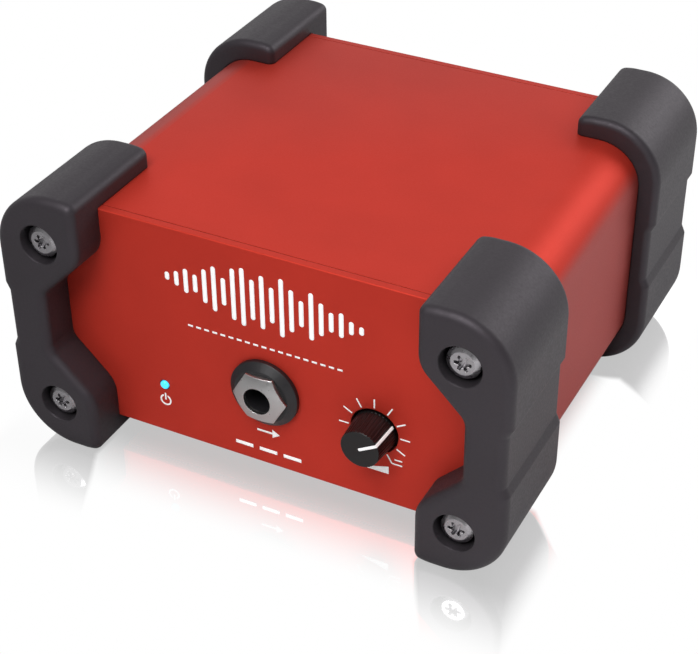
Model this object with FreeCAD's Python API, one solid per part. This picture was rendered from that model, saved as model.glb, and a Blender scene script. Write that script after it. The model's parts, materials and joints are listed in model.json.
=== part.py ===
import FreeCAD, Part
import math
import os

# Rugged desktop box that sends a guitar signal down a long line.
# Millimetres. +Z is up, the controls face -Y, and the origin is on the floor
# under the middle of the box. Each function builds one family of pieces.

V = FreeCAD.Vector

# ---- enclosure ----
CASE_WIDTH = 110.0
CASE_HEIGHT = 55.0
CASE_DEPTH = 95.8          # over both end panels
CASE_CORNER_R = 10.0
WALL = 2.0
PANEL = 2.0
PANEL_EDGE_CHAMFER = 0.2   # broken outer edge of each end panel
SEAM_WIDTH = 0.25          # fine groove between panel and sleeve
SEAM_DEPTH = 0.6
CASE_MID_Z = 32.4          # height of the case axis above the floor

FRONT = -CASE_DEPTH / 2.0  # outer face of the front panel
REAR = CASE_DEPTH / 2.0    # outer face of the rear panel

# ---- corner bumpers ----
BUMPER_PROUD = 9.35        # how far a bumper stands in front of the panel
BUMPER_REACH = 20.5        # how far it laps over the case
BUMPER_HALF_WIDTH = 59.8
BUMPER_HALF_HEIGHT = 32.4
BUMPER_CORNER_R = 14.0
BUMPER_INNER_X = 39.2      # inner side of the two lobes
BUMPER_WAIST_X = 49.5      # inner side between the lobes
LOBE_CORNER_SUM = 57.1     # |x| + |z| along the 45 degree edge
LOBE_CORNER_R = 7.0
WAIST_CORNER_R = 4.0
BUMPER_CROWN_DROP = 0.7    # fall of the crown at its inner edge
FOOT_INNER_X = 43.0        # the foot is flat from here to the corner arc
GRIP_DEPTH = 0.9           # shallow grip in the side of each bumper
GRIP_HALF = 6.4
GRIP_RAMP = 2.0
BUMPER_EDGE_R = 2.0
BUMPER_END_R = 1.6
CASE_GAP = 0.1             # air between bumper and case

# ---- bumper screws ----
SCREW_X = 48.6
SCREW_Z = 21.0
SCREW_WELL_R = 4.7
SCREW_WELL_FLOOR_R = 4.1
SCREW_WELL_DEPTH = 4.4
SCREW_HEAD_R = 3.7
SCREW_FACE_R = 2.6
SCREW_HEAD_H = 3.2
SCREW_SOCKET_R = 1.9
SCREW_SHANK_R = 1.7
SCREW_LENGTH = 22.0
SCREW_HOLE_R = 1.9
BOSS_R = 3.5
BOSS_HOLE_R = 1.75

# ---- circuit board ----
BOARD_TOP = CASE_MID_Z - 15.0
BOARD_THICK = 1.6
BOARD_HALF_WIDTH = 52.2
BOARD_INSET = 5.2          # board edge behind each panel's outer face
RAIL_REACH = 1.8
RAIL_THICK = 1.0
RAIL_CLEAR = 0.05

# ---- quarter inch jacks ----
JACK_Z = CASE_MID_Z - 7.5
INPUT_X = 0.0
THRU_X = -2.0
JACK_BORE_R = 3.25
JACK_BUSHING_R = 4.5
JACK_PANEL_HOLE_R = 4.7
JACK_WASHER_R = 8.15
JACK_WASHER_RIM = 1.0      # thickness at the washer's outer edge
JACK_WASHER_T = 2.3        # thickness under the nut
JACK_WASHER_SEAT_R = 6.5   # flat seat under the nut
JACK_NUT_AF = 11.2
JACK_NUT_FRONT = 4.1       # front of the nut ahead of the panel
JACK_NUT_DOME_R = 14.0     # sphere that shapes the nut's face
JACK_LIP = 0.9             # nut metal in front of the bushing
JACK_THREAD_BACK = 6.0     # back of the bushing behind the panel face
JACK_BODY_W = 15.0
JACK_BODY_BACK = 31.0      # back of the housing behind the panel face
JACK_CAVITY_R = 4.1

# ---- drag control ----
KNOB_X = 25.9
KNOB_Z = CASE_MID_Z - 9.1
KNOB_FRONT = 6.95          # face of the knob ahead of the panel
KNOB_TAIL = 1.6            # end of the knob inside the panel's hole
KNOB_FRONT_R = 4.45
KNOB_BASE_R = 5.0
KNOB_HOLE_R = 5.6
KNOB_FLUTES = 36
SHAFT_R = 3.0
POINTER_ANGLE = 60.0       # clockwise from straight up
POINTER_W = 0.7
POINTER_DEPTH = 0.35
SHAFT_BACK = 4.2           # end of the shaft behind the panel face
POT_BUSHING_R = 3.5
POT_BUSHING_BACK = 3.6     # end of the bushing behind the panel face
POT_HALF_WIDTH = 4.9
POT_BACK = 9.6             # back of the housing behind the panel face
POT_CAVITY_R = 4.2

# ---- power light ----
LIGHT_X = -26.0
LIGHT_Z = CASE_MID_Z - 14.4
LIGHT_R = 1.05
LIGHT_HOLE_R = 1.25

# ---- rear connectors ----
LINE_X = 22.0
LINE_SHELL_R = 11.0
LINE_SOCKET_R = 9.3
LINE_DEPTH = 18.0
LINE_INSERT_FRONT = 13.0
LINE_PIN_TIP = 0.8
LINE_PIN_R = 1.2
LINE_PIN_ROOT_R = 0.9      # the pin inside the insert
LINE_PIN_CIRCLE = 4.9
LINE_PIN_ANGLES = (30.0, 150.0, 270.0)
LINE_SCREW_DX = 9.5
LINE_SCREW_DZ = 12.0
LINE_FLANGE_T = 2.0
DC_X = -30.0
DC_Z = BOARD_TOP + 6.5
DC_BORE_R = 2.85
DC_PIN_R = 1.05
DC_PIN_ROOT_R = 0.7
DC_COLLAR_R = 4.0
DC_BORE_DEPTH = 11.0
DC_BACK = 14.0             # back of the housing behind the panel face
DC_PIVOT_DEPTH = 9.6
DC_PIVOT_DROP = 4.6
LIFT_X = -17.5
LIFT_Z = BOARD_TOP + 3.2
LIFT_TRAVEL = 3.0
LIFT_KNOB_W = 2.6
LIFT_KNOB_H = 2.4
LIFT_BACK = 8.0            # back of the housing behind the panel face

INK = 0.05                 # thickness of the printed legend


def box(x0, x1, y0, y1, z0, z1):
    return Part.makeBox(x1 - x0, y1 - y0, z1 - z0, V(x0, y0, z0))


def rod(x, z, y0, y1, r):
    """Cylinder along Y."""
    return Part.makeCylinder(r, y1 - y0, V(x, y0, z), V(0, 1, 0))


def cone(x, z, y0, y1, r0, r1):
    return Part.makeCone(r0, r1, y1 - y0, V(x, y0, z), V(0, 1, 0))


def face_of(edges):
    return Part.Face(Part.Wire(edges))


def along_y(face, y0, y1):
    """Move a face drawn at y = 0 to y0 and extrude it to y1."""
    moved = face.copy()
    moved.translate(V(0, y0, 0))
    return moved.extrude(V(0, y1 - y0, 0))


def polygon(points):
    """Face in the XZ plane at y = 0 from (x, z) pairs."""
    corners = [V(x, 0, z) for x, z in points]
    corners.append(corners[0])
    return Part.Face(Part.makePolygon(corners))


def rounded_rect(half_w, half_h, r, mid_z):
    """Rounded rectangle in the XZ plane at y = 0."""
    k = r * (1 - math.sqrt(0.5))
    edges = []
    corners = [(1, 1), (1, -1), (-1, -1), (-1, 1)]
    for i, (sx, sz) in enumerate(corners):
        x, z = sx * half_w, mid_z + sz * half_h
        upright = V(x, 0, z - sz * r)
        level = V(x - sx * r, 0, z)
        mid = V(x - sx * k, 0, z - sz * k)
        start, end = (level, upright) if sx == sz else (upright, level)
        edges.append(Part.Arc(start, mid, end).toShape())
        nx, nz = corners[(i + 1) % 4]
        if nx == sx:
            follow = V(x, 0, mid_z + nz * (half_h - r))
        else:
            follow = V(nx * (half_w - r), 0, z)
        edges.append(Part.makeLine(end, follow))
    return face_of(edges)


def fuse(shapes):
    result = shapes[0]
    for shape in shapes[1:]:
        result = result.fuse(shape)
    return result.removeSplitter()


def half_turn(shape):
    """Turn a piece drawn for the front so that it serves the rear."""
    turned = shape.copy()
    turned.rotate(V(0, 0, 0), V(0, 0, 1), 180)
    return turned


def mirror_x(shape):
    return shape.mirror(V(0, 0, 0), V(1, 0, 0))


def export(name, shape):
    shape.exportStep(os.path.join("parts", name + ".step"))


# ---------------------------------------------------------------- enclosure

def screw_points():
    return [(sx * SCREW_X, CASE_MID_Z + sz * SCREW_Z) for sx in (-1, 1) for sz in (-1, 1)]


def sleeve():
    y0, y1 = FRONT + PANEL, REAR - PANEL
    half_w, half_h = CASE_WIDTH / 2, CASE_HEIGHT / 2
    outer = rounded_rect(half_w, half_h, CASE_CORNER_R, CASE_MID_Z)
    inner = rounded_rect(half_w - WALL, half_h - WALL, CASE_CORNER_R - WALL, CASE_MID_Z)
    body = along_y(outer, y0, y1).cut(along_y(inner, y0, y1))
    extras = [rod(x, z, y0, y1, BOSS_R) for x, z in screw_points()]
    wall_x = half_w - WALL + 0.5
    board_bottom = BOARD_TOP - BOARD_THICK
    for low, high in ((board_bottom - RAIL_CLEAR - RAIL_THICK, board_bottom - RAIL_CLEAR),
                      (BOARD_TOP + RAIL_CLEAR, BOARD_TOP + RAIL_CLEAR + RAIL_THICK)):
        for side in (-1, 1):
            tip = side * (half_w - WALL - RAIL_REACH)
            root = side * wall_x
            extras.append(box(min(tip, root), max(tip, root), y0, y1, low, high))
    body = fuse([body] + extras)
    for x, z in screw_points():
        body = body.cut(rod(x, z, y0, y1, BOSS_HOLE_R))
    return body


def end_panel():
    """Front panel blank: a broken outer edge, and a step at the back that leaves a groove at the sleeve."""
    half_w, half_h = CASE_WIDTH / 2, CASE_HEIGHT / 2
    y0, y1 = FRONT, FRONT + PANEL
    plate = along_y(rounded_rect(half_w, half_h, CASE_CORNER_R, CASE_MID_Z), y0, y1 - SEAM_WIDTH)
    plate = plate.makeChamfer(PANEL_EDGE_CHAMFER, edges_at(plate, y0))
    step = rounded_rect(half_w - SEAM_DEPTH, half_h - SEAM_DEPTH, CASE_CORNER_R - SEAM_DEPTH, CASE_MID_Z)
    plate = fuse([plate, along_y(step, y1 - SEAM_WIDTH, y1)])
    for x, z in screw_points():
        plate = plate.cut(rod(x, z, y0, y1, SCREW_HOLE_R))
    return plate


def front_panel():
    y0, y1 = FRONT, FRONT + PANEL
    plate = end_panel()
    plate = plate.cut(rod(INPUT_X, JACK_Z, y0, y1, JACK_PANEL_HOLE_R))
    plate = plate.cut(rod(KNOB_X, KNOB_Z, y0, y1, KNOB_HOLE_R))
    return plate.cut(rod(LIGHT_X, LIGHT_Z, y0, y1, LIGHT_HOLE_R))


def rear_panel():
    y0, y1 = REAR - PANEL, REAR
    plate = half_turn(end_panel())
    plate = plate.cut(rod(THRU_X, JACK_Z, y0, y1, JACK_PANEL_HOLE_R))
    plate = plate.cut(rod(LINE_X, CASE_MID_Z, y0, y1, LINE_SHELL_R + 0.2))
    for s in (-1, 1):
        plate = plate.cut(rod(LINE_X + s * LINE_SCREW_DX, CASE_MID_Z - s * LINE_SCREW_DZ, y0, y1, 1.5))
    plate = plate.cut(rod(DC_X, DC_Z, y0, y1, DC_COLLAR_R + 0.1))
    slot_w = LIFT_TRAVEL + LIFT_KNOB_W + 1.0
    return plate.cut(box(LIFT_X - slot_w / 2, LIFT_X + slot_w / 2, y0, y1,
                         LIFT_Z - LIFT_KNOB_H / 2 - 0.4, LIFT_Z + LIFT_KNOB_H / 2 + 0.4))


def bumper_outline():
    """Outer outline of the front right bumper, closed along the lobes' inner side."""
    top = BUMPER_HALF_HEIGHT
    cx, cz = BUMPER_HALF_WIDTH - BUMPER_CORNER_R, top - BUMPER_CORNER_R
    k = BUMPER_CORNER_R * math.sqrt(0.5)
    upper = [
        V(BUMPER_INNER_X, 0, top - BUMPER_CROWN_DROP),
        V(FOOT_INNER_X, 0, top),
        V(cx, 0, top),
        V(cx + k, 0, cz + k),
        V(BUMPER_HALF_WIDTH, 0, cz),
    ]
    lower = [V(p.x, 0, -p.z) for p in upper]
    crown = V((upper[0].x + upper[1].x) / 2, 0, top - BUMPER_CROWN_DROP * 0.3)
    crown_low = V(crown.x, 0, -crown.z)
    edges = [
        Part.Arc(upper[0], crown, upper[1]).toShape(),
        Part.makeLine(upper[1], upper[2]),
        Part.Arc(upper[2], upper[3], upper[4]).toShape(),
        Part.makeLine(upper[4], lower[4]),
        Part.Arc(lower[4], lower[3], lower[2]).toShape(),
        Part.makeLine(lower[2], lower[1]),
        Part.Arc(lower[1], crown_low, lower[0]).toShape(),
        Part.makeLine(lower[0], upper[0]),
    ]
    return face_of(edges)


def waist_cutter(y0, y1):
    """The space between the two lobes, where the panel shows."""
    lobe_z = LOBE_CORNER_SUM - BUMPER_INNER_X
    waist_z = LOBE_CORNER_SUM - BUMPER_WAIST_X
    far = BUMPER_INNER_X - 10.0
    high = BUMPER_HALF_HEIGHT + 5.0
    face = polygon([
        (far, high), (BUMPER_INNER_X, high),
        (BUMPER_INNER_X, lobe_z), (BUMPER_WAIST_X, waist_z),
        (BUMPER_WAIST_X, -waist_z), (BUMPER_INNER_X, -lobe_z),
        (BUMPER_INNER_X, -high), (far, -high),
    ])
    solid = along_y(face, y0, y1)
    for x, z, r in ((BUMPER_INNER_X, lobe_z, LOBE_CORNER_R), (BUMPER_WAIST_X, waist_z, WAIST_CORNER_R)):
        solid = solid.makeFillet(r, edges_near(solid, x, z, y1 - y0))
    return solid


def edges_near(solid, x, z, length):
    """Edges along Y that pass through x and plus or minus z."""
    found = []
    for edge in solid.Edges:
        mid = edge.CenterOfMass
        straight = abs(edge.BoundBox.YLength - length) < 1e-4
        if straight and abs(mid.x - x) < 1e-3 and abs(abs(mid.z) - z) < 1e-3:
            found.append(edge)
    return found


def edges_at(solid, y):
    """Edges that lie in the plane at y."""
    return [e for e in solid.Edges if abs(e.BoundBox.YMin - y) < 1e-4 and abs(e.BoundBox.YMax - y) < 1e-4]


def lobe_corners(solid):
    """Long edges along Y where the crown meets the inner side of a lobe."""
    corner_z = BUMPER_HALF_HEIGHT - BUMPER_CROWN_DROP
    found = []
    for edge in solid.Edges:
        mid = edge.CenterOfMass
        at_corner = abs(mid.x - BUMPER_INNER_X) < 1e-3 and abs(abs(mid.z) - corner_z) < 1e-3
        if at_corner and edge.BoundBox.YLength > 1.0:
            found.append(edge)
    return found


def grip_cutter(y0, y1):
    """Shallow grip with ramped ends in the side of a bumper."""
    floor_x = BUMPER_HALF_WIDTH - GRIP_DEPTH
    over = 1.0
    lip = GRIP_HALF + GRIP_RAMP * (1 + over / GRIP_DEPTH)
    face = polygon([
        (floor_x, GRIP_HALF), (BUMPER_HALF_WIDTH + over, lip),
        (BUMPER_HALF_WIDTH + over, -lip), (floor_x, -GRIP_HALF),
    ])
    return along_y(face, y0, y1)


def bumper():
    """Front right bumper, drawn about the case axis and then lifted."""
    y0 = FRONT - BUMPER_PROUD
    y1 = FRONT + BUMPER_REACH
    body = along_y(bumper_outline(), y0, y1)
    body = body.cut(waist_cutter(y0 - 1, FRONT))
    body = body.cut(grip_cutter(y0 - 1, y1 + 1))
    body = body.makeFillet(BUMPER_EDGE_R, edges_at(body, y0) + lobe_corners(body))
    outer_end = [e for e in edges_at(body, y1) if e.CenterOfMass.x > BUMPER_INNER_X + 0.1]
    body = body.makeFillet(BUMPER_END_R, outer_end)
    void_w = CASE_WIDTH / 2 + CASE_GAP
    void_h = CASE_HEIGHT / 2 + CASE_GAP
    void = rounded_rect(void_w, void_h, CASE_CORNER_R + CASE_GAP, 0)
    body = body.cut(along_y(void, FRONT, y1 + 1))
    well_floor = y0 + SCREW_WELL_DEPTH
    for z in (-SCREW_Z, SCREW_Z):
        body = body.cut(cone(SCREW_X, z, y0, well_floor, SCREW_WELL_R, SCREW_WELL_FLOOR_R))
        body = body.cut(rod(SCREW_X, z, y0, FRONT + 1, SCREW_HOLE_R))
    body.translate(V(0, 0, CASE_MID_Z))
    return body


def star_socket(y0, y1, r):
    """Six-lobed driver socket along Y, centred on the origin."""
    lobe_r = r * 0.2
    shapes = [rod(0, 0, y0, y1, r * 0.55)]
    for i in range(6):
        lobe = box(0, r - lobe_r, y0, y1, -lobe_r, lobe_r).fuse(rod(r - lobe_r, 0, y0, y1, lobe_r))
        lobe.rotate(V(0, 0, 0), V(0, 1, 0), 60 * i)
        shapes.append(lobe)
    return fuse(shapes)


def pan_screw(head_r, face_r, head_h, shank_r, length, socket_r):
    """Pan-head screw along +Y with the head's seat at y = 0."""
    shoulder = (head_r - face_r) * 0.55
    head = fuse([
        cone(0, 0, -head_h, -head_h + shoulder, face_r, head_r),
        rod(0, 0, -head_h + shoulder, 0, head_r),
    ])
    head = head.cut(star_socket(-head_h - 1, -head_h + socket_r * 0.5, socket_r))
    shank = rod(0, 0, 0, length, shank_r)
    tip = [e for e in shank.Edges if abs(e.CenterOfMass.y - length) < 1e-6]
    shank = shank.makeChamfer(shank_r * 0.4, tip)
    return fuse([head, shank])


def bumper_screws():
    """The four screws that hold the front panel and both front bumpers."""
    seat = FRONT - BUMPER_PROUD + SCREW_WELL_DEPTH
    screws = []
    for x, z in screw_points():
        screw = pan_screw(SCREW_HEAD_R, SCREW_FACE_R, SCREW_HEAD_H,
                          SCREW_SHANK_R, SCREW_LENGTH, SCREW_SOCKET_R)
        screw.translate(V(x, seat, z))
        screws.append(screw)
    return Part.makeCompound(screws)


# ---------------------------------------------------------- quarter inch jack
# Every jack piece is drawn with its mouth facing -Y, its axis on the Y axis,
# and the outer face of the panel at y = 0.

def hexagon(across_flats):
    r = across_flats / math.sqrt(3)
    points = [(r * math.cos(math.radians(60 * i)), r * math.sin(math.radians(60 * i))) for i in range(6)]
    return polygon(points)


def jack_washer():
    """Round washer whose face slopes up from a thin rim to the nut's seat."""
    rim = rod(0, 0, -JACK_WASHER_RIM, 0, JACK_WASHER_R)
    slope = cone(0, 0, -JACK_WASHER_T, -JACK_WASHER_RIM, JACK_WASHER_SEAT_R, JACK_WASHER_R)
    ring = fuse([rim, slope])
    return ring.cut(rod(0, 0, -JACK_WASHER_T, 0, JACK_BUSHING_R + 0.1))


def jack_nut():
    """Hexagon nut with a domed face, whose front lip hides the end of the threaded bushing."""
    front, back = -JACK_NUT_FRONT, -JACK_WASHER_T
    dome_y = front + math.sqrt(JACK_NUT_DOME_R ** 2 - JACK_BORE_R ** 2)
    nut = along_y(hexagon(JACK_NUT_AF), front - 1, back)
    nut = nut.common(Part.makeSphere(JACK_NUT_DOME_R, V(0, dome_y, 0)))
    nut = nut.cut(rod(0, 0, front + JACK_LIP, back, JACK_BUSHING_R))
    return nut.cut(rod(0, 0, front - 1, back, JACK_BORE_R))


def jack_bushing():
    front = -JACK_NUT_FRONT + JACK_LIP
    tube = rod(0, 0, front, JACK_THREAD_BACK, JACK_BUSHING_R)
    return tube.cut(rod(0, 0, front, JACK_THREAD_BACK, JACK_BORE_R))


def jack_body():
    half = JACK_BODY_W / 2
    body = box(-half, half, PANEL, JACK_BODY_BACK, -half, half)
    body = body.cut(rod(0, 0, PANEL, JACK_THREAD_BACK, JACK_BUSHING_R))
    body = body.cut(rod(0, 0, JACK_THREAD_BACK, JACK_BODY_BACK - 1.5, JACK_CAVITY_R))
    body = body.cut(box(-1.6, 1.6, 11.0, 29.0, 0, 6.9))
    body = body.cut(box(0, 6.9, 7.0, 18.5, -1.6, 1.6))
    tip_y, tip_z = TIP_PIVOT
    side_y, side_x = SIDE_PIVOT
    body = body.cut(Part.makeCylinder(0.55, 4.4, V(-2.2, tip_y, tip_z), V(1, 0, 0)))
    return body.cut(Part.makeCylinder(0.55, 4.4, V(side_x, side_y, -2.2), V(0, 0, 1)))


# Pivots and bend points of the contact leaves: distance behind the panel
# face, then distance from the jack's axis.
TIP_PIVOT = (12.5, 5.2)
TIP_LEAF = ((12.5, 5.2), (19.0, 4.7), (22.3, 2.55), (26.0, 4.6))
SIDE_PIVOT = (17.0, 5.2)
SIDE_LEAF = ((17.0, 5.2), (12.5, 4.7), (10.2, 3.0), (8.2, 4.2))
LEAF_T = 0.3
LEAF_HALF_W = 1.2


def leaf_profile(points):
    """Thin strip of constant thickness through the bend points, in the YZ plane."""
    near = []
    far = []
    for i, (y, z) in enumerate(points):
        before = points[max(i - 1, 0)]
        after = points[min(i + 1, len(points) - 1)]
        dy, dz = after[0] - before[0], after[1] - before[1]
        size = math.hypot(dy, dz)
        ny, nz = -dz / size * LEAF_T / 2, dy / size * LEAF_T / 2
        near.append(V(0, y + ny, z + nz))
        far.append(V(0, y - ny, z - nz))
    ring = near + far[::-1]
    return Part.Face(Part.makePolygon(ring + ring[:1]))


def leaf(points):
    """Contact leaf above the plug, with its rolled end on the pivot."""
    face = leaf_profile(points)
    face.translate(V(-LEAF_HALF_W, 0, 0))
    strip = face.extrude(V(2 * LEAF_HALF_W, 0, 0))
    y, z = points[0]
    bead = Part.makeCylinder(0.5, 4.2, V(-2.1, y, z), V(1, 0, 0))
    return fuse([strip, bead])


def jack_tip_leaf():
    return leaf(TIP_LEAF)


def jack_side_leaf():
    strip = leaf(SIDE_LEAF)
    strip.rotate(V(0, 0, 0), V(0, 1, 0), 90)
    return strip


def jack_legs():
    """Three solder legs under the housing, down into the board."""
    half = JACK_BODY_W / 2
    top = -half
    bottom = -half - BOARD_THICK - 0.8
    return [box(x - 0.5, x + 0.5, y - 0.2, y + 0.2, bottom, top) for x, y in ((-5, 10), (5, 10), (0, 25))]


# --------------------------------------------------------------- drag control

def knob_profile(inset):
    """Half outline of the knob as (y, radius) pairs, from the face to the panel."""
    return [(FRONT - KNOB_FRONT + inset, KNOB_FRONT_R - inset), (FRONT, KNOB_BASE_R - inset)]


def knob():
    """Fluted, slightly conical knob whose plain tail turns inside the panel's hole."""
    y0, y1 = FRONT - KNOB_FRONT, FRONT + KNOB_TAIL
    outline = [V(0, y0, 0)] + [V(0, y, r) for y, r in knob_profile(0)]
    outline += [V(0, y1, KNOB_BASE_R), V(0, y1, 0), V(0, y0, 0)]
    body = Part.Face(Part.makePolygon(outline)).revolve(V(0, 0, 0), V(0, 1, 0), 360)
    rim = [e for e in edges_at(body, y0) if abs(e.BoundBox.XLength - 2 * KNOB_FRONT_R) < 0.01]
    body = body.makeChamfer(0.15, rim)
    slope = math.degrees(math.atan((KNOB_BASE_R - KNOB_FRONT_R) / KNOB_FRONT))
    for i in range(KNOB_FLUTES):
        groove = rod(0, KNOB_FRONT_R + 0.2, y0 - 1, FRONT - 0.2, 0.3)
        groove.rotate(V(0, y0, KNOB_FRONT_R), V(1, 0, 0), slope)
        groove.rotate(V(0, 0, 0), V(0, 1, 0), 360.0 / KNOB_FLUTES * (i + 0.5))
        body = body.cut(groove)
    body = body.cut(pot_shaft_blank())
    body = body.cut(pointer_blank())
    body.translate(V(KNOB_X, 0, KNOB_Z))
    return body


def pointer_blank():
    """White line from the middle of the knob's face, over its rim and down its side."""
    y0 = FRONT - KNOB_FRONT
    half = POINTER_W / 2
    outer = [V(-half, y0, 0)] + [V(-half, y, r) for y, r in knob_profile(0)]
    inner = [V(-half, y, r) for y, r in knob_profile(POINTER_DEPTH)][::-1] + [V(-half, y0 + POINTER_DEPTH, 0)]
    ring = outer + inner
    line = Part.Face(Part.makePolygon(ring + ring[:1])).extrude(V(2 * half, 0, 0))
    line = fuse([line, rod(0, 0, y0, y0 + POINTER_DEPTH, half)])
    line.rotate(V(0, 0, 0), V(0, 1, 0), POINTER_ANGLE)
    return line


def knob_pointer():
    line = pointer_blank()
    line.translate(V(KNOB_X, 0, KNOB_Z))
    return line


def pot_shaft_blank():
    """Round shaft with a driving flat at its front end."""
    front = FRONT - KNOB_FRONT + 1.4
    shaft = rod(0, 0, front, FRONT + SHAFT_BACK, SHAFT_R)
    flat = box(-SHAFT_R - 1, SHAFT_R + 1, front, FRONT + KNOB_TAIL, -SHAFT_R - 1, -SHAFT_R + 0.8)
    return shaft.cut(flat)


def pot_shaft():
    shaft = pot_shaft_blank()
    shaft.translate(V(KNOB_X, 0, KNOB_Z))
    return shaft


def pot_bushing():
    tube = rod(KNOB_X, KNOB_Z, FRONT + KNOB_TAIL + 0.2, FRONT + POT_BUSHING_BACK, POT_BUSHING_R)
    return tube.cut(rod(KNOB_X, KNOB_Z, FRONT, FRONT + POT_BUSHING_BACK, SHAFT_R + 0.05))


def pot_body():
    y0, y1 = FRONT + 2.6, FRONT + POT_BACK
    top = KNOB_Z + POT_HALF_WIDTH
    body = box(KNOB_X - POT_HALF_WIDTH, KNOB_X + POT_HALF_WIDTH, y0, y1, BOARD_TOP, top)
    body = body.cut(rod(KNOB_X, KNOB_Z, y0, FRONT + POT_BUSHING_BACK, POT_BUSHING_R))
    return body.cut(rod(KNOB_X, KNOB_Z, FRONT + POT_BUSHING_BACK, y1, POT_CAVITY_R))


def pot_cover():
    y0 = FRONT + POT_BACK
    top = KNOB_Z + POT_HALF_WIDTH
    return box(KNOB_X - POT_HALF_WIDTH, KNOB_X + POT_HALF_WIDTH, y0, y0 + 0.4, BOARD_TOP, top)


def pot_wiper():
    """Contact disc on the end of the shaft, with one finger toward the track."""
    y0 = FRONT + SHAFT_BACK
    disc = rod(KNOB_X, KNOB_Z, y0, y0 + 0.6, 3.8)
    finger = rod(KNOB_X, KNOB_Z + 3.0, y0, FRONT + POT_BACK - 1.05, 0.4)
    finger.rotate(V(KNOB_X, 0, KNOB_Z), V(0, 1, 0), POINTER_ANGLE)
    return fuse([disc, finger])


def pot_track():
    y1 = FRONT + POT_BACK
    return rod(KNOB_X, KNOB_Z, y1 - 1.0, y1, POT_CAVITY_R)


def pot_legs():
    y = FRONT + 6.5
    legs = []
    for x in (-2.5, 0, 2.5):
        legs.append(box(KNOB_X + x - 0.4, KNOB_X + x + 0.4, y - 0.15, y + 0.15,
                        BOARD_TOP - BOARD_THICK - 0.8, BOARD_TOP))
    return legs


# ---------------------------------------------------------------- power light

def light_pipe():
    pipe = rod(LIGHT_X, LIGHT_Z, FRONT - 0.35, FRONT + 5.0, LIGHT_R)
    tip = [e for e in pipe.Edges if abs(e.CenterOfMass.y - (FRONT - 0.35)) < 1e-6]
    pipe = pipe.makeFillet(0.3, tip)
    return fuse([pipe, rod(LIGHT_X, LIGHT_Z, FRONT + PANEL, FRONT + 3.4, LIGHT_R + 0.8)])


def power_lamp():
    return box(LIGHT_X - 1.5, LIGHT_X + 1.5, FRONT + 5.4, FRONT + 6.8, BOARD_TOP, BOARD_TOP + 1.2)


# -------------------------------------------------------------- circuit board

def board_outline():
    y0, y1 = FRONT + BOARD_INSET, REAR - BOARD_INSET
    return box(-BOARD_HALF_WIDTH, BOARD_HALF_WIDTH, y0, y1, BOARD_TOP - BOARD_THICK, BOARD_TOP)


def main_board(legs):
    board = board_outline()
    for leg in legs:
        b = leg.BoundBox
        clear = 0.1
        board = board.cut(box(b.XMin - clear, b.XMax + clear, b.YMin - clear, b.YMax + clear,
                              BOARD_TOP - BOARD_THICK, BOARD_TOP))
    return board


def on_board(x, y, w, d, h):
    """Block standing on the board."""
    return box(x - w / 2, x + w / 2, y - d / 2, y + d / 2, BOARD_TOP, BOARD_TOP + h)


def amplifier_chips():
    """Eight-legged chips, each a body with two rows of legs."""
    chips = []
    for x, y in ((16.0, -14.0), (16.0, -2.0), (28.0, -14.0)):
        body = box(x - 1.95, x + 1.95, y - 2.45, y + 2.45, BOARD_TOP + 0.25, BOARD_TOP + 1.75)
        legs = []
        for i in range(4):
            leg_y = y + (i - 1.5) * 1.27
            for side in (-1, 1):
                x0, x1 = sorted((x + side * 1.95, x + side * 3.0))
                legs.append(box(x0, x1, leg_y - 0.2, leg_y + 0.2, BOARD_TOP, BOARD_TOP + 0.9))
        chips.append(fuse([body] + legs))
    return Part.makeCompound(chips)


def film_capacitors():
    spots = ((10.0, -8.0), (22.0, -8.0), (22.0, -20.0), (34.0, -8.0))
    return Part.makeCompound([on_board(x, y, 2.5, 7.2, 6.5) for x, y in spots])


def can_capacitors():
    cans = []
    for x, y in ((-40.0, 12.0), (-40.0, 21.0), (-32.0, 16.0), (-14.0, 12.0), (36.0, 4.0)):
        can = Part.makeCylinder(3.15, 9.0, V(x, y, BOARD_TOP))
        top = [e for e in can.Edges if abs(e.CenterOfMass.z - BOARD_TOP - 9.0) < 1e-6]
        cans.append(can.makeFillet(0.5, top))
    return Part.makeCompound(cans)


def chip_resistors():
    resistors = []
    for row in range(3):
        for column in range(4):
            x, y = -36.0 + column * 4.6, -24.0 + row * 4.0
            resistors.append(on_board(x, y, 3.2, 1.6, 0.6))
    return Part.makeCompound(resistors)


# Line transformer: laminated core around a bobbin and its winding.
CORE_X, CORE_Y = -26.0, -2.0
CORE_W, CORE_D, CORE_H = 22.0, 10.0, 18.5
CORE_LEG = 5.0


def core_box(w, d, z0, z1):
    """Block centred on the transformer's axis."""
    return box(CORE_X - w / 2, CORE_X + w / 2, CORE_Y - d / 2, CORE_Y + d / 2, z0, z1)


def transformer_core():
    z0 = BOARD_TOP + 1.5
    frame = core_box(CORE_W, CORE_D, z0, z0 + CORE_H)
    window = (CORE_W - 3 * CORE_LEG) / 2
    for side in (-1, 1):
        near, far = CORE_LEG / 2, CORE_LEG / 2 + window
        x0, x1 = sorted((CORE_X + side * near, CORE_X + side * far))
        frame = frame.cut(box(x0, x1, CORE_Y - CORE_D, CORE_Y + CORE_D, z0 + 3.0, z0 + CORE_H - 3.0))
    return frame


def ring_box(inner_w, inner_d, outer_w, outer_d, z0, z1):
    return core_box(outer_w, outer_d, z0, z1).cut(core_box(inner_w, inner_d, z0, z1))


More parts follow.
